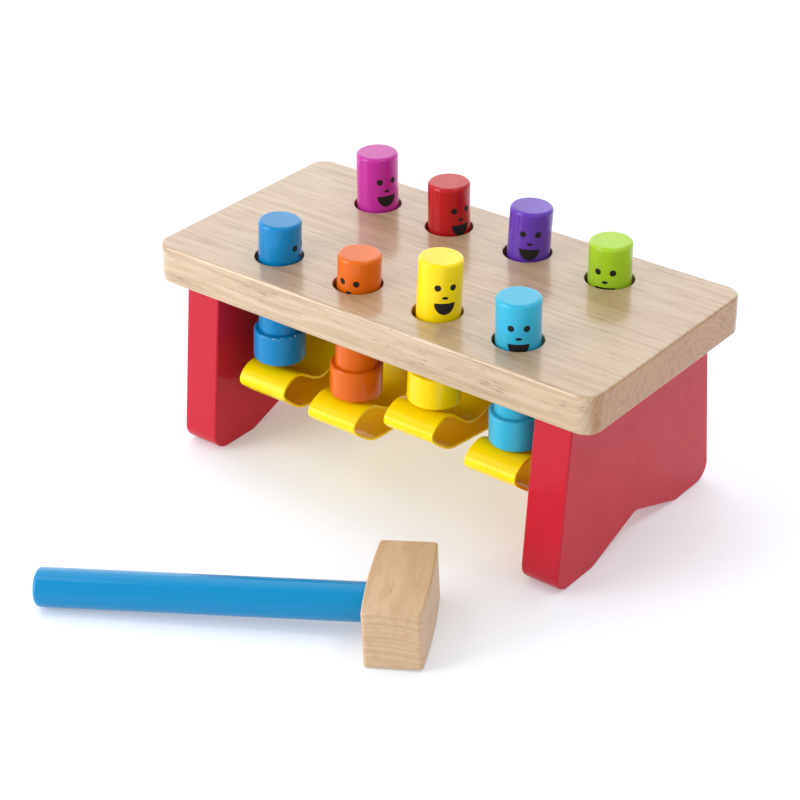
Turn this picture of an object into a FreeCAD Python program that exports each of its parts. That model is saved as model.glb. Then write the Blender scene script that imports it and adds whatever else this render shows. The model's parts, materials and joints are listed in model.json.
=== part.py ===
import FreeCAD, Part
import math
import os

# Toy workbench for pounding: a thick board with two rows of captive pegs stands on two panel legs.
# Four flexible loops hang over a fixed rail under the board, one loop per front-and-back pair of pegs.
# A small mallet lies on the floor in front of the bench.
# Millimetres. +X runs along the board, +Y to the back, +Z up, and the floor is Z = 0.
# The geometry is laid out about the middle of the bench, then moved back by BENCH_Y, so that the
# origin is under the middle of the box around the bench and its mallet.

V = FreeCAD.Vector
X_AXIS = V(1, 0, 0)
Y_AXIS = V(0, 1, 0)
Z_AXIS = V(0, 0, 1)
BENCH_Y = 86.2

# Board
BOARD_LENGTH = 290.0
BOARD_DEPTH = 145.0
BOARD_THICK = 22.0
BENCH_HEIGHT = 121.0
BOARD_CORNER_R = 10.0
BOARD_EDGE_R = 1.4
HOLE_R = 13.5
HOLE_EDGE_R = 0.6
HOLE_PITCH = 53.0
HOLE_SHIFT = {"orange": 2.3, "yellow": 2.3, "cyan": 0.6, "magenta": 1.2, "red": -1.0, "purple": -0.5}
ROW_Y = 42.5

# Legs: two panels under the board that widen towards the floor, with an arch between two feet
LEG_THICK = 23.0
LEG_INSET = 16.0
LEG_TOP_HALF = 64.2
LEG_FOOT_HALF = 74.6
ARCH_HALF = 41.0
ARCH_PEAK = 14.5
FOOT_CORNER_R = 10.0
FOOT_BEND_R = 8.0
ARCH_PEAK_R = 8.0
LEG_EDGE_R = 1.2

# Glued dowels between each leg and the board
DOWEL_R = 4.0
DOWEL_LENGTH = 30.0
DOWEL_IN_BOARD = 12.0
DOWEL_POCKET_SPARE = 0.5
DOWEL_ROW_Y = (-42.0, 0.0, 42.0)

# Rail that the loops hang over, let into both legs
RAIL_Z = 54.0
RAIL_R = 10.0
RAIL_SEAT_R = 9.0
RAIL_SEAT_WIDTH = 32.8
RAIL_TENON_R = 7.0
RAIL_TENON_LENGTH = 10.0

# Pegs: a turned shaft with a collar at its lower end, too wide for the hole
PEG_R = 11.85
PEG_LENGTH = 83.5
PEG_RIM_R = 2.0
COLLAR_R = 14.6
COLLAR_HEIGHT = 18.0
COLLAR_RIM_R = 1.3
FRONT_PEGS = ("blue", "orange", "yellow", "cyan")
BACK_PEGS = ("magenta", "red", "purple", "green")
FRONT_PEG_RISE = (21.5, 17.7, 31.5, 24.6)
BACK_PEG_RISE = (31.8, 27.4, 27.5, 22.4)
PEG_LEAN = {"blue": 2.2, "orange": 2.6, "yellow": 2.8, "purple": 3.0}
LEAN_TOWARDS = 38.0

# Flexible loops: one closed band per pair of pegs
LOOP_THICK = 1.4
LOOP_WIDTH = 32.0
LOOP_RAIL_GAP = 0.3
LOOP_PEG_GAP = 0.8
LOOP_SLACK = {"blue": 3.0, "orange": 0.1, "red": 0.5, "green": 0.2}
LOOP_REACH = {"blue": 0.9}
TROUGH_Y = 28.0
SLOPE_Y = 41.0
CREST_Y = 53.5
NOSE_Y = 65.0
CHIN_Y = 59.3
BELLY_Y = 49.0
SOLE_Y = 40.0
NOSE_DROP = 8.3
CHIN_DROP = 15.0
BELLY_DROP = 21.6
SOLE_DROP = 23.1
WAIST_DIP = 2.0
FLAT_CREST_Z = 54.5
FLAT_TROUGH_Z = 45.0
TROUGH_PER_CREST = 0.65
WRAP_AT_HIGH_TROUGH = 30.0
WRAP_PER_DROP = 2.8
HIGH_TROUGH_Z = 55.7
HUMP_STEPS = 10
RIM_ARCS = 48

# Mallet: block head with two bowed sides, round handle glued into a blind hole
HEAD_LENGTH = 65.8
HEAD_END_WIDTH = 29.6
HEAD_MIDDLE_WIDTH = 32.4
HEAD_HEIGHT = 32.2
HEAD_CORNER_R = 2.2
HEAD_EDGE_R = 1.2
HANDLE_R = 10.3
HANDLE_REACH = 171.5
HANDLE_IN_HEAD = 22.0
HANDLE_END_R = 2.5
HANDLE_LEAD_IN = 1.0
MALLET_X = 84.1
MALLET_Y = -144.5
MALLET_YAW = 29.9

# Worked out from the dimensions above
BOARD_UNDER_Z = BENCH_HEIGHT - BOARD_THICK
LEG_OUTER_X = BOARD_LENGTH / 2 - LEG_INSET
LEG_INNER_X = LEG_OUTER_X - LEG_THICK
COLUMN_X = [(column - 1.5) * HOLE_PITCH for column in range(4)]
LOOP_WRAP_R = RAIL_SEAT_R + LOOP_RAIL_GAP + LOOP_THICK / 2


def rounded_outline(corners, radii, place):
    """A closed wire through 2D corners, each rounded by its radius, mapped to 3D by place(u, v)."""
    count = len(corners)
    bends = []
    for i in range(count):
        here = V(corners[i][0], corners[i][1], 0)
        if radii[i] == 0:
            bends.append([place(here.x, here.y)])
            continue
        to_last = V(corners[i - 1][0], corners[i - 1][1], 0).sub(here).normalize()
        to_next = V(corners[(i + 1) % count][0], corners[(i + 1) % count][1], 0).sub(here).normalize()
        half = to_last.getAngle(to_next) / 2
        run = radii[i] / math.tan(half)
        to_centre = to_last.add(to_next).normalize()
        middle = here + to_centre * (radii[i] / math.sin(half) - radii[i])
        bend = [here + to_last * run, middle, here + to_next * run]
        bends.append([place(point.x, point.y) for point in bend])
    edges = []
    for i in range(count):
        if len(bends[i]) == 3:
            edges.append(Part.Arc(*bends[i]).toShape())
        edges.append(Part.LineSegment(bends[i][-1], bends[(i + 1) % count][0]).toShape())
    return Part.Wire(edges)


def edges_where(shape, test):
    """The edges of a shape whose every vertex and middle point pass a test."""
    chosen = []
    for edge in shape.Edges:
        middle = edge.valueAt((edge.FirstParameter + edge.LastParameter) / 2)
        if all(test(point) for point in [vertex.Point for vertex in edge.Vertexes] + [middle]):
            chosen.append(edge)
    return chosen


def hole_x(name, row):
    """Where along the board a peg's hole is drilled. Some holes are a little out of step with the loops."""
    return COLUMN_X[row.index(name)] + HOLE_SHIFT.get(name, 0.0)


def make_board():
    """The top board: rounded corners, eight through holes, blind dowel holes underneath."""
    half_x = BOARD_LENGTH / 2
    half_y = BOARD_DEPTH / 2
    corners = [(-half_x, -half_y), (half_x, -half_y), (half_x, half_y), (-half_x, half_y)]
    outline = rounded_outline(corners, [BOARD_CORNER_R] * 4, lambda u, v: V(u, v, BOARD_UNDER_Z))
    board = Part.Face(outline).extrude(V(0, 0, BOARD_THICK))
    rims = edges_where(board, lambda p: abs(p.z - BENCH_HEIGHT) < 0.01 or abs(p.z - BOARD_UNDER_Z) < 0.01)
    board = board.makeFillet(BOARD_EDGE_R, rims)
    for row, y in ((FRONT_PEGS, -ROW_Y), (BACK_PEGS, ROW_Y)):
        for name in row:
            board = board.cut(Part.makeCylinder(HOLE_R, BOARD_THICK, V(hole_x(name, row), y, BOARD_UNDER_Z)))
    hole_rims = [edge for edge in board.Edges
                 if isinstance(edge.Curve, Part.Circle) and abs(edge.Curve.Radius - HOLE_R) < 0.01]
    board = board.makeFillet(HOLE_EDGE_R, hole_rims)
    for side in (-1, 1):
        board = board.cut(dowel_group(side, DOWEL_POCKET_SPARE))
    return board


def dowel_group(side, spare):
    """Three dowels that join the leg on one side to the board, longer by spare at both ends."""
    x = side * (LEG_OUTER_X + LEG_INNER_X) / 2
    bottom = BOARD_UNDER_Z + DOWEL_IN_BOARD - DOWEL_LENGTH - spare
    dowels = [Part.makeCylinder(DOWEL_R, DOWEL_LENGTH + 2 * spare, V(x, y, bottom)) for y in DOWEL_ROW_Y]
    return Part.makeCompound(dowels)


def make_leg(side):
    """A panel leg: sides that splay outwards going down, rounded feet and a low pointed arch."""
    corners = [
        (-LEG_TOP_HALF, BOARD_UNDER_Z), (LEG_TOP_HALF, BOARD_UNDER_Z),
        (LEG_FOOT_HALF, 0), (ARCH_HALF, 0), (0, ARCH_PEAK), (-ARCH_HALF, 0), (-LEG_FOOT_HALF, 0),
    ]
    radii = [0, 0, FOOT_CORNER_R, FOOT_BEND_R, ARCH_PEAK_R, FOOT_BEND_R, FOOT_CORNER_R]
    x_start = LEG_INNER_X if side > 0 else -LEG_OUTER_X
    outline = rounded_outline(corners, radii, lambda u, v: V(x_start, u, v))
    leg = Part.Face(outline).extrude(V(LEG_THICK, 0, 0))
    top = BOARD_UNDER_Z
    face_rims = edges_where(leg, lambda p: abs(abs(p.x) - LEG_INNER_X) < 0.01 or abs(abs(p.x) - LEG_OUTER_X) < 0.01)
    face_rims = [edge for edge in face_rims if not all(abs(v.Point.z - top) < 0.01 for v in edge.Vertexes)]
    leg = leg.makeFillet(LEG_EDGE_R, face_rims)
    leg = leg.cut(dowel_group(side, DOWEL_POCKET_SPARE))
    pocket_start = V(side * LEG_INNER_X, 0, RAIL_Z)
    leg = leg.cut(Part.makeCylinder(RAIL_TENON_R, RAIL_TENON_LENGTH, pocket_start, X_AXIS * side))
    return leg


def make_rail():
    """A turned rail with four shallow seats for the loops and a tenon at each end."""
    rail = Part.makeCylinder(RAIL_R, 2 * LEG_INNER_X, V(-LEG_INNER_X, 0, RAIL_Z), X_AXIS)
    for x in COLUMN_X:
        start = V(x - RAIL_SEAT_WIDTH / 2, 0, RAIL_Z)
        ring = Part.makeCylinder(RAIL_R + 1, RAIL_SEAT_WIDTH, start, X_AXIS)
        ring = ring.cut(Part.makeCylinder(RAIL_SEAT_R, RAIL_SEAT_WIDTH, start, X_AXIS))
        rail = rail.cut(ring)
    for side in (-1, 1):
        start = V(side * LEG_INNER_X, 0, RAIL_Z)
        rail = rail.fuse(Part.makeCylinder(RAIL_TENON_R, RAIL_TENON_LENGTH, start, X_AXIS * side))
    return rail.removeSplitter()


def peg_bottom_z(rise):
    """Height of a peg's underside when its top stands this far above the board."""
    return BENCH_HEIGHT + rise - PEG_LENGTH


def make_peg(name, x, y, rise):
    """One turned peg with its collar, leaning in its hole about the middle of the board's thickness."""
    tall = PEG_LENGTH
    shaft = Part.makeCylinder(PEG_R, tall)
    collar = Part.makeCylinder(COLLAR_R, COLLAR_HEIGHT)
    collar = collar.makeFillet(COLLAR_RIM_R, [e for e in collar.Edges if isinstance(e.Curve, Part.Circle)])
    shaft = shaft.makeFillet(PEG_RIM_R, edges_where(shaft, lambda p: abs(p.z - tall) < 0.01))
    peg = collar.fuse(shaft).removeSplitter()
    peg.translate(V(x, y, peg_bottom_z(rise)))
    lean = PEG_LEAN.get(name, 0.0)
    heading = math.radians(LEAN_TOWARDS)
    turn_axis = V(-math.sin(heading), math.cos(heading), 0)
    peg.rotate(V(x, y, BENCH_HEIGHT - BOARD_THICK / 2), turn_axis, lean)
    return peg


def crest_z(name, rise):
    """Height of a loop's crest just under its peg's collar, lower where the peg leans or stands clear."""
    lean_drop = COLLAR_R * math.sin(math.radians(PEG_LEAN.get(name, 0.0)))
    return peg_bottom_z(rise) - LOOP_PEG_GAP - lean_drop - LOOP_SLACK.get(name, 0.0)


def trough_z(crest):
    """Height of the dip between a lobe and the hump, which follows the lobe up and down."""
    return FLAT_TROUGH_Z + TROUGH_PER_CREST * (crest - FLAT_CREST_Z)


def lobe_points(side, crest, reach):
    """Middle-line points of one end of a loop, from the trough over the crest and round to its sole."""
    top = crest - LOOP_THICK / 2
    low = trough_z(crest) - LOOP_THICK / 2
    profile = [
        (TROUGH_Y, low),
        (SLOPE_Y, (top + low) / 2),
        (CREST_Y, top),
        (NOSE_Y, crest - NOSE_DROP),
        (CHIN_Y, crest - CHIN_DROP),
        (BELLY_Y, crest - BELLY_DROP),
        (SOLE_Y, crest - SOLE_DROP),
    ]
    return [V(0, side * (TROUGH_Y + (y - TROUGH_Y) * reach), z) for y, z in profile]


def hump_points(front_crest, back_crest):
    """Middle-line points round the rail, from the back to the front. A deep trough wraps further round."""
    wraps = [WRAP_AT_HIGH_TROUGH + WRAP_PER_DROP * max(HIGH_TROUGH_Z - trough_z(crest), 0)
             for crest in (back_crest, front_crest)]
    angles = [math.radians(wraps[0] - (wraps[0] + wraps[1]) * i / HUMP_STEPS) for i in range(HUMP_STEPS + 1)]
    return [V(0, LOOP_WRAP_R * math.sin(a), RAIL_Z + LOOP_WRAP_R * math.cos(a)) for a in angles]


def offset_rim(curve, distance):
    """A closed wire of arcs at a distance from a closed curve in the YZ plane."""
    points = []
    for i in range(2 * RIM_ARCS):
        at = curve.FirstParameter + (curve.LastParameter - curve.FirstParameter) * i / (2 * RIM_ARCS)
        tangent = curve.tangent(at)[0]
        points.append(curve.value(at) + V(0, -tangent.z, tangent.y) * distance)
    points.append(points[0])
    arcs = [Part.Arc(*points[2 * i:2 * i + 3]).toShape() for i in range(RIM_ARCS)]
    return Part.Wire(arcs)


def make_loop(x, front_crest, front_reach, back_crest, back_reach):
    """A closed band in a vertical plane across the bench, hung over the rail, one lobe under each peg."""
    front = lobe_points(-1, front_crest, front_reach)
    back = lobe_points(1, back_crest, back_reach)
    waist = V(0, 0, (front[-1].z + back[-1].z) / 2 - WAIST_DIP)
    curve = Part.BSplineCurve()
    curve.interpolate(Points=hump_points(front_crest, back_crest) + front + [waist] + back[::-1],
                      PeriodicFlag=True)
    solids = [Part.Face(offset_rim(curve, distance)).extrude(V(LOOP_WIDTH, 0, 0))
              for distance in (LOOP_THICK / 2, -LOOP_THICK / 2)]
    solids.sort(key=lambda solid: solid.Volume)
    band = solids[1].cut(solids[0])
    band.translate(V(x - LOOP_WIDTH / 2, 0, 0))
    return band


def mallet_tilt():
    """Angle that lets the handle's free end rest on the floor while the head rests on one edge."""
    return math.degrees(math.atan2(HEAD_HEIGHT / 2 - HANDLE_R, HANDLE_REACH))


def place_mallet(shape):
    """From the head's own axes (handle towards -X, middle of its underside at the origin) to the floor."""
    shape.rotate(V(-HEAD_MIDDLE_WIDTH / 2, 0, 0), Y_AXIS, -mallet_tilt())
    shape.rotate(V(0, 0, 0), Z_AXIS, MALLET_YAW)
    shape.translate(V(MALLET_X, MALLET_Y, 0))
    return shape


def make_mallet_head():
    """Block with flat striking ends, bowed long sides and a blind hole for the handle."""
    half_w = HEAD_END_WIDTH / 2
    half_m = HEAD_MIDDLE_WIDTH / 2
    half_l = HEAD_LENGTH / 2
    outline = Part.Wire([
        Part.LineSegment(V(-half_w, -half_l, 0), V(half_w, -half_l, 0)).toShape(),
        Part.Arc(V(half_w, -half_l, 0), V(half_m, 0, 0), V(half_w, half_l, 0)).toShape(),
        Part.LineSegment(V(half_w, half_l, 0), V(-half_w, half_l, 0)).toShape(),
        Part.Arc(V(-half_w, half_l, 0), V(-half_m, 0, 0), V(-half_w, -half_l, 0)).toShape(),
    ])
    head = Part.Face(outline).extrude(V(0, 0, HEAD_HEIGHT))
    uprights = [e for e in head.Edges if abs(e.Vertexes[0].Point.z - e.Vertexes[-1].Point.z) > 1]
    head = head.makeFillet(HEAD_CORNER_R, uprights)
    rims = edges_where(head, lambda p: p.z < 0.01 or p.z > HEAD_HEIGHT - 0.01)
    head = head.makeFillet(HEAD_EDGE_R, rims)
    hole_length = HANDLE_IN_HEAD + 1
    hole_start = V(-half_m - 1, 0, HEAD_HEIGHT / 2)
    return place_mallet(head.cut(Part.makeCylinder(HANDLE_R, hole_length, hole_start, X_AXIS)))


def make_mallet_handle():
    """Round handle with a softened free end and a small lead-in where it enters the head."""
    start_x = -HEAD_MIDDLE_WIDTH / 2 - HANDLE_REACH
    length = HANDLE_REACH + HANDLE_IN_HEAD
    handle = Part.makeCylinder(HANDLE_R, length, V(start_x, 0, HEAD_HEIGHT / 2), X_AXIS)
    free_end = edges_where(handle, lambda p: abs(p.x - start_x) < 0.01)
    handle = handle.makeFillet(HANDLE_END_R, free_end)
    inner_end = edges_where(handle, lambda p: abs(p.x - start_x - length) < 0.01)
    return place_mallet(handle.makeChamfer(HANDLE_LEAD_IN, inner_end))


def build():
    """Every node by name."""
    nodes = {
        "top_board": make_board(),
        "left_leg": make_leg(-1),
        "right_leg": make_leg(1),
        "left_leg_dowels": dowel_group(-1, 0),
        "right_leg_dowels": dowel_group(1, 0),
        "loop_rail": make_rail(),
        "mallet_head": make_mallet_head(),
        "mallet_handle": make_mallet_handle(),
    }
    for column, x in enumerate(COLUMN_X):
        front_name = FRONT_PEGS[column]
        back_name = BACK_PEGS[column]
        front_rise = FRONT_PEG_RISE[column]
        back_rise = BACK_PEG_RISE[column]
        nodes[front_name + "_peg"] = make_peg(front_name, hole_x(front_name, FRONT_PEGS), -ROW_Y, front_rise)
        nodes[back_name + "_peg"] = make_peg(back_name, hole_x(back_name, BACK_PEGS), ROW_Y, back_rise)
        loop_name = "flexible_loop_%d" % (column + 1)
        nodes[loop_name] = make_loop(
            x, crest_z(front_name, front_rise), LOOP_REACH.get(front_name, 1.0),
            crest_z(back_name, back_rise), LOOP_REACH.get(back_name, 1.0))
    return nodes


def main():
    os.makedirs("parts", exist_ok=True)
    for name, shape in build().items():
        shape.translate(V(0, BENCH_Y, 0))
        if not shape.isValid():
            print("NOT VALID", name)
        shape.exportStep("parts/%s.step" % name)
        box = shape.optimalBoundingBox(False, False)
        print("%-18s solids %d  volume %9.0f  x %7.1f %7.1f  y %7.1f %7.1f  z %6.2f %6.2f" % (
            name, len(shape.Solids), shape.Volume, box.XMin, box.XMax, box.YMin, box.YMax,
            box.ZMin, box.ZMax))


main()
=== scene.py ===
import json
import math

import bmesh
import bpy
from mathutils import Matrix, Vector


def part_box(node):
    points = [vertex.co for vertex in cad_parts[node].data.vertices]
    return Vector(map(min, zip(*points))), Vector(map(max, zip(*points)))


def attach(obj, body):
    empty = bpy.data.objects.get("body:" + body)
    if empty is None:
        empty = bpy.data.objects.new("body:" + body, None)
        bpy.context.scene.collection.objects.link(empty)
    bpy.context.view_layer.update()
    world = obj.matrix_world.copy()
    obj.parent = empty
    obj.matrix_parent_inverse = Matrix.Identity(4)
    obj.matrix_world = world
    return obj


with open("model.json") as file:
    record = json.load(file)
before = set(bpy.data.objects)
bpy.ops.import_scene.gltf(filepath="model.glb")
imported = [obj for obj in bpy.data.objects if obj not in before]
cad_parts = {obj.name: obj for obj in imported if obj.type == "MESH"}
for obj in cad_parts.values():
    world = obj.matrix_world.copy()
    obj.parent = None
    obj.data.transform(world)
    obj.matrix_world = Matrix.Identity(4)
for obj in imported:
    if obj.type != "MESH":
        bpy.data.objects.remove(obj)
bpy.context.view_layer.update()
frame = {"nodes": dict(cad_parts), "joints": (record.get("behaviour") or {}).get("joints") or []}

# A toy pounding bench and its mallet. Metres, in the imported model's own frame: +X along the
# board, -Y to the front, +Z up. The CAD nodes keep their shapes and get finished materials here.
# The printed faces are thin pieces of their own that ride on the pegs.

MM = 0.001
FRONT_PEGS = ("blue", "orange", "yellow", "cyan")
BACK_PEGS = ("magenta", "red", "purple", "green")
LOOP_COUNT = 4
BARE_WOOD_NODES = ("loop_rail", "left_leg_dowels", "right_leg_dowels")

# Camera: where it stands around the middle of the bench's footprint, in degrees and metres, its
# shift across its own view, and its lens and sensor in millimetres
CAMERA_AZIMUTH = 38.33
CAMERA_ELEVATION = 30.06
CAMERA_ROLL = -0.645
CAMERA_DISTANCE = 1.2385
CAMERA_OFFSET_RIGHT = -0.0241
CAMERA_OFFSET_UP = 0.0326
CAMERA_LENS = 98.3
SENSOR_WIDTH = 36.0

# Square lights that look at the bench: name, direction, distance, side length and power
SOFT_BOXES = (
    ("left_soft_box", (-0.412, -0.415, 0.81), 1.6, 0.7, 3.2),
    ("right_soft_box", (0.458, 0.081, 0.885), 1.6, 0.30, 3.3),
    ("front_left_fill", (-0.55, -0.80, 0.30), 2.0, 1.2, 30.5),
)
LIGHT_AIM = (0.0, 0.03, 0.05)

# Brightness of the room, and its glows at the back left and the front right: direction, how far
# along it the glow starts and is full, and its gain
ROOM_DIM = 0.27
ROOM_GLOWS = (
    ((-0.53, 0.67, 0.52), 0.25, 0.95, 1.6),
    ((0.85, -0.5, 0.1), -0.1, 0.9, 0.52),
)

FLOOR_HALF = 6.0
FLOOR_DROP = 0.0002
FLOOR_COLOURS = ((0.71, 0.74, 0.79), (0.73, 0.76, 0.81))
FLOOR_ROUGH = 0.85
FLOOR_SPECULAR = 0.1
FLOOR_GLOW = 0.22
FLOOR_GLOW_COLOUR = (1.0, 1.0, 1.02, 1)

# Paint and plastic colours, linear
PEG_COLOURS = {
    "blue": (0.0, 0.21, 0.49),
    "orange": (0.69, 0.125, 0.002),
    "yellow": (0.93, 0.67, 0.0),
    "cyan": (0.030, 0.42, 0.64),
    "magenta": (0.51, 0.026, 0.32),
    "red": (0.46, 0.008, 0.011),
    "purple": (0.125, 0.040, 0.42),
    "green": (0.37, 0.61, 0.018),
}
PEG_SHADE = 0.82
LEG_RED = (0.50, 0.009, 0.024)
LEG_RED_SHADE = (0.45, 0.008, 0.022)
HANDLE_BLUE = (0.0, 0.22, 0.46)
HANDLE_BLUE_SHADE = (0.002, 0.21, 0.49)
LOOP_YELLOW = (0.97, 0.68, 0.0)
LOOP_YELLOW_SHADE = (0.95, 0.65, 0.0)
INK = (0.014, 0.012, 0.012)
INK_WORN = (0.05, 0.042, 0.04)
CHIP_COLOUR = (0.62, 0.66, 0.66)

# Paints: roughness, clear coat, how finely the wood shows through along X, Y and Z, and its depth
PEG_PAINT = {"rough": 0.28, "coat": 0.8, "coat_rough": 0.06,
             "grain": (90.0, 90.0, 700.0), "depth": 0.02 * MM}
LEG_PAINT = {"rough": 0.40, "coat": 0.6, "coat_rough": 0.12,
             "grain": (60.0, 400.0, 900.0), "depth": 0.02 * MM}
HANDLE_PAINT = {"rough": 0.3, "coat": 0.7, "coat_rough": 0.08,
                "grain": (60.0, 60.0, 500.0), "depth": 0.025 * MM}
PAINT_SPECULAR = 0.1
PAINT_COAT_IOR = 1.32
# How far below a peg's top its end grain and painted shade start to show and show fully, and how
# far from the collar's rim the chips stop and are at full strength
TOP_BAND = (0.9 * MM, 0.2 * MM)
CHIP_BAND = (0.8 * MM, 0.3 * MM)

# Loop plastic: roughness from and to, the share of light that goes in, how far each colour of it
# gets as a share of the whole depth, the flow lines' depth, and the clear coat
LOOP_PLASTIC = {"rough": (0.24, 0.32), "inside": 0.6, "inside_colour": (1.0, 0.5, 0.05),
                "inside_depth": 2.5 * MM, "flow_depth": 0.004 * MM, "specular": 0.1,
                "coat": 0.3, "coat_rough": 0.12, "coat_ior": 1.35}
INK_ROUGH = (0.42, 0.6)
INK_GRIT_DEPTH = 0.01 * MM
INK_SPECULAR = 0.15

# Woods: their colours, the strength of the thin lines and of the ring arcs on the ends, where the
# pith lies from the piece's middle, the step of the rings, the length of a streak, the depth of
# the pores, roughness and clear coat, what the ends are tinted by, and the painted shade that
# darkens the top
BOARD_WOOD = {
    "pale": (0.57, 0.42, 0.27), "tan": (0.48, 0.33, 0.19), "warm": (0.36, 0.22, 0.115),
    "cream": (0.60, 0.47, 0.32), "pore": (0.20, 0.11, 0.055),
    "lines": 0.55, "end_rings": 0.55, "pith": (0.0, 0.022, -0.030),
    "ring_step": 1.5 * MM, "grain_length": 45 * MM, "pore_bump": 0.03 * MM,
    "rough": 0.42, "coat": 1.0, "coat_rough": 0.15,
    "end_tint": (0.78, 0.50, 0.20), "top_painted_shade": (0.78, 0.74, 0.70),
}
MALLET_WOOD = {
    "pale": (0.60, 0.41, 0.25), "tan": (0.52, 0.34, 0.195), "warm": (0.50, 0.31, 0.15),
    "cream": (0.64, 0.46, 0.28), "pore": (0.36, 0.22, 0.12),
    "lines": 0.3, "end_rings": 0.15, "pith": (0.0, 0.003, -0.075),
    "ring_step": 2.0 * MM, "grain_length": 20 * MM, "pore_bump": 0.025 * MM,
    "rough": 0.45, "coat": 0.25, "coat_rough": 0.3,
    # The mallet head's top is darkened slightly as painted shade
    "end_tint": (1.0, 1.0, 1.0), "top_painted_shade": (0.92, 0.92, 0.90),
}
BARE_WOOD = {
    "pale": (0.66, 0.50, 0.33), "tan": (0.56, 0.39, 0.23), "warm": (0.50, 0.33, 0.18),
    "cream": (0.72, 0.57, 0.40), "pore": (0.30, 0.18, 0.10),
    "lines": 0.4, "end_rings": 0.4, "pith": (0.0, 0.012, -0.020),
    "ring_step": 1.6 * MM, "grain_length": 30 * MM, "pore_bump": 0.03 * MM,
    "rough": 0.6, "coat": 0.0, "coat_rough": 0.5,
    "end_tint": (0.85, 0.80, 0.75), "top_painted_shade": (1.0, 1.0, 1.0),
}
WOOD_COAT_IOR = 1.5
# The turn that brings the mallet's handle onto X, in degrees: the grain of the head runs square
# to the handle, level with the floor
MALLET_TURN = -29.9

# Printed face, in millimetres: widths along the peg's surface, heights below its top
EYE_SPREAD = 8.3
EYE_DOWN = 13.1
EYE_R = 1.8
NOSE_DOWN = 18.7
NOSE_HALF_WIDTH = 1.65
NOSE_HALF_HEIGHT = 0.85
MOUTH_DOWN = 21.8
MOUTH_HALF_WIDTH = 5.7
MOUTH_HEIGHT = 6.5
INK_THICK = 0.05
INK_BURIED = 0.08
# Steps around an outline, along the mouth's straight edge and from a patch's middle to its rim,
# and the raised face's reach and the rim's height as shares of the whole
OUTLINE_STEPS = 28
MOUTH_EDGE_STEPS = 14
PATCH_STEPS = 9
PATCH_REACH = 0.97
RIM_RISE = 0.4
# How much of a peg's shaft is sure to stand clear of its collar, from the top down, and how high
# the collar's rim is above the peg's foot
SHAFT_SHOWN = 30 * MM
COLLAR_HEIGHT = 17.6 * MM
# Which way each face looks, in degrees from the front towards the right, and how far down its
# print sits
FACE_TURN = {"blue": (104, 0.3), "orange": (11, -0.2), "yellow": (51, -0.4), "cyan": (36, -0.2),
             "magenta": (65, 0.9), "red": (71, 0.2), "purple": (35, -0.9), "green": (20, 0.8)}


def add(tree, kind, sockets=None, **settings):
    """Adds a node to a tree, sets its properties, and sets or links its input sockets."""
    made = tree.nodes.new(kind)
    for key, value in settings.items():
        setattr(made, key, value)
    for key, value in (sockets or {}).items():
        if isinstance(value, bpy.types.NodeSocket):
            tree.links.new(value, made.inputs[key])
        else:
            made.inputs[key].default_value = value
    return made


def new_material(name):
    """A material with one Principled shader, and its tree and shader."""
    material = bpy.data.materials.new(name)
    material.use_nodes = True
    tree = material.node_tree
    return material, tree, tree.nodes["Principled BSDF"]


def feed(tree, shader, **sockets):
    """Sets or links a shader's inputs, named with _ for a space."""
    for key, value in sockets.items():
        socket = shader.inputs[key.replace("_", " ")]
        if isinstance(value, bpy.types.NodeSocket):
            tree.links.new(value, socket)
        else:
            socket.default_value = value


def vector_math(tree, operation, a, b=(0, 0, 0)):
    return add(tree, "ShaderNodeVectorMath", {0: a, 1: b}, operation=operation).outputs[0]


def place(tree, turn=(0, 0, 0), origin=(0, 0, 0)):
    """Object coordinates about an origin, turned."""
    coordinates = add(tree, "ShaderNodeTexCoord").outputs["Object"]
    centred = vector_math(tree, "SUBTRACT", coordinates, origin)
    return add(tree, "ShaderNodeMapping", {"Vector": centred, "Rotation": turn}).outputs[0]


def noise(tree, vector, fineness, detail=3.0, roughness=0.55):
    """Noise from 0 to 1 at a vector, as fine along X, Y and Z as fineness says."""
    fine = vector_math(tree, "MULTIPLY", vector, fineness)
    made = add(tree, "ShaderNodeTexNoise", {"Vector": fine, "Scale": 1.0, "Detail": detail,
                                            "Roughness": roughness, "Distortion": 0.0})
    return made.outputs["Fac"]


def remap(tree, value, low, high, to_low=0.0, to_high=1.0):
    """A value moved from one range to another, smoothly and without leaving it."""
    made = add(tree, "ShaderNodeMapRange", {"Value": value, "From Min": low, "From Max": high,
                                            "To Min": to_low, "To Max": to_high},
               interpolation_type="SMOOTHSTEP")
    return made.outputs["Result"]


def math_node(tree, operation, a, b=0.0):
    return add(tree, "ShaderNodeMath", {0: a, 1: b}, operation=operation).outputs[0]


def times(tree, a, b):
    return math_node(tree, "MULTIPLY", a, b)


def height_of(tree, vector):
    return add(tree, "ShaderNodeSeparateXYZ", {0: vector}).outputs["Z"]


def blend_colour(tree, factor, a, b, mode="MIX"):
    """Two colours mixed by a factor. Each is an RGB triple or a socket."""
    made = add(tree, "ShaderNodeMix", data_type="RGBA", blend_type=mode)
    for name, value in (("Factor_Float", factor), ("A_Color", a), ("B_Color", b)):
        socket = next(s for s in made.inputs if s.identifier == name)
        if isinstance(value, bpy.types.NodeSocket):
            tree.links.new(value, socket)
        else:
            socket.default_value = value if name == "Factor_Float" else (*value, 1.0)
    return next(s for s in made.outputs if s.identifier == "Result_Color")


def bump(tree, height, distance):
    made = add(tree, "ShaderNodeBump", {"Height": height, "Distance": distance, "Strength": 1.0})
    return made.outputs[0]


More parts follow.
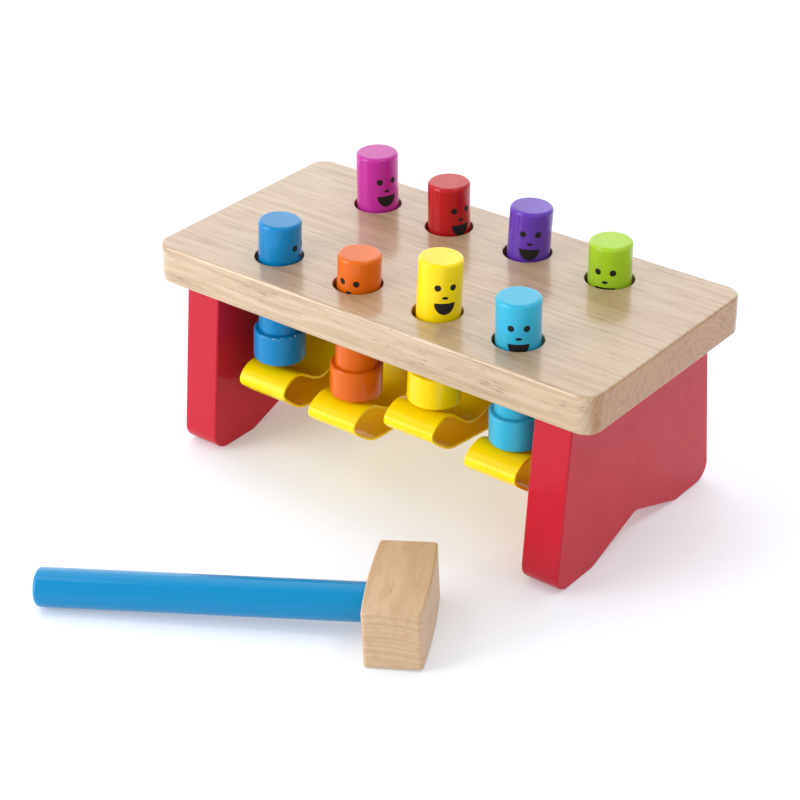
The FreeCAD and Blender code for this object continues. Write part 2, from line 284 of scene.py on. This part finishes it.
def wood(name, turn, origin, look):
    """Straight-grained wood, its grain along the turned X axis: rings about a pith that sways,
    streaks, clouds, pores and thin lines on the sides, ring arcs and a tint on the ends, and a
    painted shade that darkens the top, under a clear coat with its own long waves."""
    material, tree, shader = new_material(name)
    here = place(tree, turn, origin)
    sway = noise(tree, here, (5.0, 22.0, 22.0), 2.0)
    off_middle = math_node(tree, "SUBTRACT", sway, 0.5)
    sideways = add(tree, "ShaderNodeCombineXYZ", {"Y": off_middle, "Z": off_middle}).outputs[0]
    swayed = vector_math(tree, "ADD", here,
                         vector_math(tree, "MULTIPLY", sideways, (0.0, 0.010, 0.006)))
    from_pith = vector_math(tree, "SUBTRACT", swayed, look["pith"])
    across = vector_math(tree, "MULTIPLY", from_pith, (0.012, 1.0, 1.0))
    radius = add(tree, "ShaderNodeVectorMath", {0: across}, operation="LENGTH").outputs["Value"]
    rings = add(tree, "ShaderNodeTexNoise", {"W": times(tree, radius, 1.0 / look["ring_step"]),
                                             "Scale": 1.0, "Detail": 3.0, "Roughness": 0.6},
                noise_dimensions="1D").outputs["Fac"]
    streaks = noise(tree, here, (1.0 / look["grain_length"], 260.0, 260.0), 4.0, 0.62)
    clouds = noise(tree, here, (7.0, 26.0, 26.0), 3.0, 0.5)
    fine = noise(tree, here, (60.0, 1500.0, 1500.0), 2.0, 0.5)
    pores = noise(tree, here, (130.0, 1250.0, 1250.0), 1.0, 0.4)
    lines = noise(tree, swayed, (0.45 / look["grain_length"], 900.0, 900.0), 2.0, 0.5)

    normal = add(tree, "ShaderNodeTexCoord").outputs["Normal"]
    facing = add(tree, "ShaderNodeMapping", {"Vector": normal, "Rotation": turn}).outputs[0]
    sides = add(tree, "ShaderNodeSeparateXYZ", {0: facing})
    on_end = remap(tree, math_node(tree, "ABSOLUTE", sides.outputs["X"]), 0.55, 0.95)
    on_side = math_node(tree, "SUBTRACT", 1.0, on_end)
    on_top = remap(tree, sides.outputs["Z"], 0.6, 0.95)

    tint = blend_colour(tree, remap(tree, rings, 0.34, 0.66), look["pale"], look["tan"])
    ring_edges = times(tree, remap(tree, rings, 0.50, 0.62, 0.0, look["end_rings"]), on_end)
    tint = blend_colour(tree, ring_edges, tint, look["warm"])
    tint = blend_colour(tree, remap(tree, streaks, 0.45, 0.72, 0.0, 0.75), tint, look["warm"])
    tint = blend_colour(tree, remap(tree, clouds, 0.45, 0.75, 0.0, 0.35), tint, look["cream"])
    fine_lines = times(tree, remap(tree, fine, 0.35, 0.75, 0.0, 0.30), on_side)
    tint = blend_colour(tree, fine_lines, tint, look["tan"])
    pore_mask = times(tree, remap(tree, pores, 0.645, 0.71),
                      remap(tree, streaks, 0.40, 0.62, 0.25, 1.0))
    pore_mask = times(tree, pore_mask, on_side)
    tint = blend_colour(tree, times(tree, pore_mask, 0.62), tint, look["pore"])
    line_mask = times(tree, remap(tree, lines, 0.56, 0.72, 0.0, look["lines"]), on_side)
    tint = blend_colour(tree, line_mask, tint, look["warm"])
    tint = blend_colour(tree, on_end, tint, look["end_tint"], "MULTIPLY")
    # Painted shade: surfaces that face up are multiplied darker by the top's painted shade colour
    tint = blend_colour(tree, on_top, tint, look["top_painted_shade"], "MULTIPLY")

    height = math_node(tree, "ADD", times(tree, streaks, 0.5), times(tree, pore_mask, -1.0))
    long_waves = noise(tree, here, (9.0, 45.0, 45.0), 2.0)
    feed(tree, shader, Base_Color=tint,
         Roughness=remap(tree, streaks, 0.3, 0.7, look["rough"], look["rough"] + 0.12),
         Normal=bump(tree, height, look["pore_bump"]), Coat_Weight=look["coat"],
         Coat_Roughness=look["coat_rough"], Coat_IOR=WOOD_COAT_IOR,
         Coat_Normal=bump(tree, long_waves, look["pore_bump"] * 4))
    return material


def paint(name, colour, shade, look, top=None, rim=None):
    """Paint on wood: uneven cover, specks, a soft orange peel and the grain showing through. Above
    the height top it lies thin on end grain and is darkened as painted shade, and near the height
    rim it is chipped."""
    material, tree, shader = new_material(name)
    here = place(tree)
    cover = noise(tree, here, (90.0, 90.0, 60.0))
    specks = noise(tree, here, (900.0, 900.0, 900.0), 2.0)
    tint = blend_colour(tree, remap(tree, cover, 0.35, 0.7, 0.0, 0.3), colour, shade)
    peel = noise(tree, here, (420.0, 420.0, 420.0), 2.0)
    grain = noise(tree, here, look["grain"])
    height = math_node(tree, "ADD", times(tree, peel, 0.4), grain)
    rough = remap(tree, cover, 0.3, 0.7, look["rough"], look["rough"] + 0.08)
    if top is not None:
        on_top = remap(tree, height_of(tree, here), top - TOP_BAND[0], top - TOP_BAND[1])
        end_grain = noise(tree, here, (950.0, 620.0, 200.0), 4.0, 0.65)
        ridges = times(tree, on_top, times(tree, end_grain, 1.6))
        height = math_node(tree, "ADD", height, ridges)
        # Painted shade with end grain: the whole top is drawn at least halfway towards the shade
        # colour, further where the end grain is strong
        end_grain_and_top_shade = times(tree, on_top, remap(tree, end_grain, 0.35, 0.7, 0.5, 1.0))
        tint = blend_colour(tree, end_grain_and_top_shade, tint, shade)
        rough = math_node(tree, "ADD", rough, times(tree, on_top, 0.1))
    tint = blend_colour(tree, remap(tree, specks, 0.70, 0.76, 0.0, 0.25), tint, shade)
    if rim is not None:
        above_rim = math_node(tree, "SUBTRACT", height_of(tree, here), rim)
        off_rim = math_node(tree, "ABSOLUTE", above_rim)
        chips = noise(tree, here, (650.0, 650.0, 650.0), 3.0, 0.6)
        chipped = times(tree, remap(tree, chips, 0.59, 0.62), remap(tree, off_rim, *CHIP_BAND))
        tint = blend_colour(tree, chipped, tint, CHIP_COLOUR)
    feed(tree, shader, Base_Color=tint, Roughness=rough, Normal=bump(tree, height, look["depth"]),
         Coat_Weight=look["coat"], Coat_Roughness=look["coat_rough"], Coat_IOR=PAINT_COAT_IOR,
         Specular_IOR_Level=PAINT_SPECULAR)
    return material


def loop_plastic():
    """Glossy flexible sheet: light passes a little way in, faint flow lines along the band."""
    material, tree, shader = new_material("loop_plastic_look")
    flow = noise(tree, place(tree), (140.0, 25.0, 25.0))
    tint = blend_colour(tree, remap(tree, flow, 0.35, 0.7), LOOP_YELLOW, LOOP_YELLOW_SHADE)
    look = LOOP_PLASTIC
    feed(tree, shader, Base_Color=tint, Roughness=remap(tree, flow, 0.3, 0.7, *look["rough"]),
         Normal=bump(tree, flow, look["flow_depth"]), Subsurface_Weight=look["inside"],
         Subsurface_Radius=look["inside_colour"], Subsurface_Scale=look["inside_depth"],
         Specular_IOR_Level=look["specular"], Coat_Weight=look["coat"],
         Coat_Roughness=look["coat_rough"], Coat_IOR=look["coat_ior"])
    return material


def face_ink():
    """Matt pad-printed ink with a fine grit."""
    material, tree, shader = new_material("face_ink_look")
    grit = noise(tree, place(tree), (2200.0, 2200.0, 2200.0), 2.0)
    feed(tree, shader, Base_Color=blend_colour(tree, remap(tree, grit, 0.5, 0.8), INK, INK_WORN),
         Roughness=remap(tree, grit, 0.3, 0.7, *INK_ROUGH),
         Normal=bump(tree, grit, INK_GRIT_DEPTH), Specular_IOR_Level=INK_SPECULAR)
    return material


def dress(node_name, material):
    """Puts a material on a CAD node, on its object's own slots."""
    for slot in frame["nodes"][node_name].material_slots:
        slot.link = "OBJECT"
        slot.material = material


def middle(node_name):
    low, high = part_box(node_name)
    return (low + high) / 2


def middle_of(values):
    return (min(values) + max(values)) / 2


def peg_axes(name):
    """A peg's top centre, its axis, its front and right directions, and its shaft's radius."""
    joint = next(j for j in frame["joints"] if j["name"] == name + "_peg_slide")
    axis = Vector(joint["axis"]).normalized()
    front = (Vector((0, -1, 0)) + axis * axis.y).normalized()
    right = axis.cross(front)
    right = -right if right.x < 0 else right
    corners = [v.co for v in frame["nodes"][name + "_peg"].data.vertices]
    top = max(c.dot(axis) for c in corners)
    shaft = [c for c in corners if c.dot(axis) > top - SHAFT_SHOWN]
    across = [c.dot(right) for c in shaft]
    along = [c.dot(front) for c in shaft]
    centre = axis * top + right * middle_of(across) + front * middle_of(along)
    return centre, axis, front, right, (max(across) - min(across)) / 2


def mouth_outline():
    """Half-ellipse with a straight top edge."""
    turns = [math.pi * i / OUTLINE_STEPS for i in range(OUTLINE_STEPS + 1)]
    lower = [(MOUTH_HALF_WIDTH * math.cos(t), MOUTH_DOWN + MOUTH_HEIGHT * math.sin(t))
             for t in turns]
    upper = [(-MOUTH_HALF_WIDTH + 2 * MOUTH_HALF_WIDTH * i / MOUTH_EDGE_STEPS, MOUTH_DOWN)
             for i in range(1, MOUTH_EDGE_STEPS)]
    return lower + upper


def oval_outline(across, down, half_width, half_height):
    turns = [2 * math.pi * i / OUTLINE_STEPS for i in range(OUTLINE_STEPS)]
    return [(across + half_width * math.cos(t), down + half_height * math.sin(t)) for t in turns]


def print_patch(mesh, outline, to_surface):
    """A closed thin patch of ink in an outline: a raised face, a rim, and a back in the paint."""
    count = len(outline)
    middle_a = sum(a for a, d in outline) / count
    middle_d = sum(d for a, d in outline) / count
    layers = [(i / PATCH_STEPS * PATCH_REACH, INK_THICK) for i in range(1, PATCH_STEPS + 1)]
    layers += [(1.0, INK_THICK * RIM_RISE), (1.0, -INK_BURIED)]
    layers += [(i / PATCH_STEPS, -INK_BURIED) for i in range(PATCH_STEPS - 1, 0, -1)]
    rings = []
    for share, height in layers:
        spots = [(middle_a + (a - middle_a) * share, middle_d + (d - middle_d) * share)
                 for a, d in outline]
        rings.append([mesh.verts.new(to_surface(a, d, height)) for a, d in spots])
    front = mesh.verts.new(to_surface(middle_a, middle_d, INK_THICK))
    back = mesh.verts.new(to_surface(middle_a, middle_d, -INK_BURIED))
    for inner, outer in zip(rings, rings[1:]):
        for i in range(count):
            j = (i + 1) % count
            mesh.faces.new((inner[i], outer[i], outer[j], inner[j]))
    for i in range(count):
        j = (i + 1) % count
        mesh.faces.new((front, rings[0][i], rings[0][j]))
        mesh.faces.new((back, rings[-1][j], rings[-1][i]))


def print_face(name, material):
    """Eyes, nose and mouth printed on one peg, as one piece that rides on it."""
    centre, axis, front, right, radius = peg_axes(name)
    turn, lower = FACE_TURN[name]

    def to_surface(across, down, height):
        angle = math.radians(turn) + across * MM / radius
        outward = front * math.cos(angle) + right * math.sin(angle)
        return centre - axis * (down + lower) * MM + outward * (radius + height * MM)

    mesh = bmesh.new()
    for side in (-1, 1):
        print_patch(mesh, oval_outline(side * EYE_SPREAD / 2, EYE_DOWN, EYE_R, EYE_R), to_surface)
    print_patch(mesh, oval_outline(0, NOSE_DOWN, NOSE_HALF_WIDTH, NOSE_HALF_HEIGHT), to_surface)
    print_patch(mesh, mouth_outline(), to_surface)
    bmesh.ops.recalc_face_normals(mesh, faces=mesh.faces)
    data = bpy.data.meshes.new(name + "_face_print")
    mesh.to_mesh(data)
    mesh.free()
    piece = bpy.data.objects.new(name + "_face_print", data)
    bpy.context.scene.collection.objects.link(piece)
    data.materials.append(material)
    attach(piece, name + "_peg")


def dress_everything():
    level = (0, 0, 0)
    dress("top_board", wood("lacquered_board_look", level, middle("top_board"), BOARD_WOOD))
    head_turn = (0, 0, math.radians(MALLET_TURN - 90))
    dress("mallet_head", wood("mallet_wood_look", head_turn, middle("mallet_head"), MALLET_WOOD))
    bare = wood("bare_wood_look", level, middle("loop_rail"), BARE_WOOD)
    for name in BARE_WOOD_NODES:
        dress(name, bare)
    red = paint("red_leg_paint_look", LEG_RED, LEG_RED_SHADE, LEG_PAINT)
    dress("left_leg", red)
    dress("right_leg", red)
    dress("mallet_handle",
          paint("mallet_blue_paint_look", HANDLE_BLUE, HANDLE_BLUE_SHADE, HANDLE_PAINT))
    yellow = loop_plastic()
    for column in range(LOOP_COUNT):
        dress("flexible_loop_%d" % (column + 1), yellow)
    ink = face_ink()
    for name in FRONT_PEGS + BACK_PEGS:
        colour = PEG_COLOURS[name]
        shade = tuple(c * PEG_SHADE for c in colour)
        low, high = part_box(name + "_peg")
        rim = low.z + COLLAR_HEIGHT if name == "blue" else None
        look = paint(name + "_peg_paint_look", colour, shade, PEG_PAINT, top=high.z, rim=rim)
        dress(name + "_peg", look)
        print_face(name, ink)


def make_floor():
    """A wide pale floor, very slightly bright of itself, as a lit studio table."""
    data = bpy.data.meshes.new("studio_floor")
    half = FLOOR_HALF
    corners = [(-half, -half, 0), (half, -half, 0), (half, half, 0), (-half, half, 0)]
    data.from_pydata(corners, [], [(0, 1, 2, 3)])
    floor = bpy.data.objects.new("studio_floor", data)
    bpy.context.scene.collection.objects.link(floor)
    floor.location.z = -FLOOR_DROP
    material, tree, shader = new_material("floor_look")
    speckle = noise(tree, place(tree), (900.0, 900.0, 900.0), 2.0)
    feed(tree, shader, Base_Color=blend_colour(tree, speckle, *FLOOR_COLOURS),
         Roughness=FLOOR_ROUGH, Specular_IOR_Level=FLOOR_SPECULAR,
         Emission_Color=FLOOR_GLOW_COLOUR, Emission_Strength=FLOOR_GLOW)
    data.materials.append(material)


def camera_axes():
    """The camera's right, its up, and the direction from the bench back to it."""
    azimuth = math.radians(CAMERA_AZIMUTH)
    elevation = math.radians(CAMERA_ELEVATION)
    roll = math.radians(CAMERA_ROLL)
    back = Vector((math.sin(azimuth) * math.cos(elevation),
                   -math.cos(azimuth) * math.cos(elevation), math.sin(elevation)))
    level = (-back).cross(Vector((0, 0, 1))).normalized()
    upward = level.cross(-back)
    right = level * math.cos(roll) + upward * math.sin(roll)
    up = upward * math.cos(roll) - level * math.sin(roll)
    return right, up, back


def make_camera():
    right, up, back = camera_axes()
    bench = middle("top_board")
    aim = Vector((bench.x, bench.y, 0))
    data = bpy.data.cameras.new("camera")
    data.lens = CAMERA_LENS
    data.sensor_width = SENSOR_WIDTH
    camera = bpy.data.objects.new("camera", data)
    bpy.context.scene.collection.objects.link(camera)
    spot = aim + back * CAMERA_DISTANCE + right * CAMERA_OFFSET_RIGHT + up * CAMERA_OFFSET_UP
    axes = Matrix((right, up, back)).transposed().to_4x4()
    camera.matrix_world = Matrix.Translation(spot) @ axes
    bpy.context.scene.camera = camera


def soft_box(name, direction, distance, size, power):
    """A square area light that looks at the bench from a direction."""
    data = bpy.data.lights.new(name, "AREA")
    data.shape = "SQUARE"
    data.size = size
    data.energy = power
    light = bpy.data.objects.new(name, data)
    bpy.context.scene.collection.objects.link(light)
    toward = Vector(direction).normalized()
    light.location = Vector(LIGHT_AIM) + toward * distance
    light.rotation_euler = toward.to_track_quat("Z", "Y").to_euler()


def make_light():
    """Two boxes overhead, a fill from the front left, and a dim room with two soft glows."""
    for box in SOFT_BOXES:
        soft_box(*box)
    world = bpy.data.worlds.new("studio")
    bpy.context.scene.world = world
    world.use_nodes = True
    tree = world.node_tree
    background = tree.nodes["Background"]
    direction = add(tree, "ShaderNodeTexCoord").outputs["Generated"]
    level = ROOM_DIM
    for toward, low, high, gain in ROOM_GLOWS:
        facing = add(tree, "ShaderNodeVectorMath", {0: direction, 1: toward},
                     operation="DOT_PRODUCT").outputs["Value"]
        level = math_node(tree, "ADD", remap(tree, facing, low, high, 0.0, gain), level)
    tree.links.new(level, background.inputs["Strength"])
    background.inputs["Color"].default_value = (1, 1, 1, 1)


bpy.context.scene.view_settings.view_transform = "Standard"
dress_everything()
make_floor()
make_camera()
make_light()
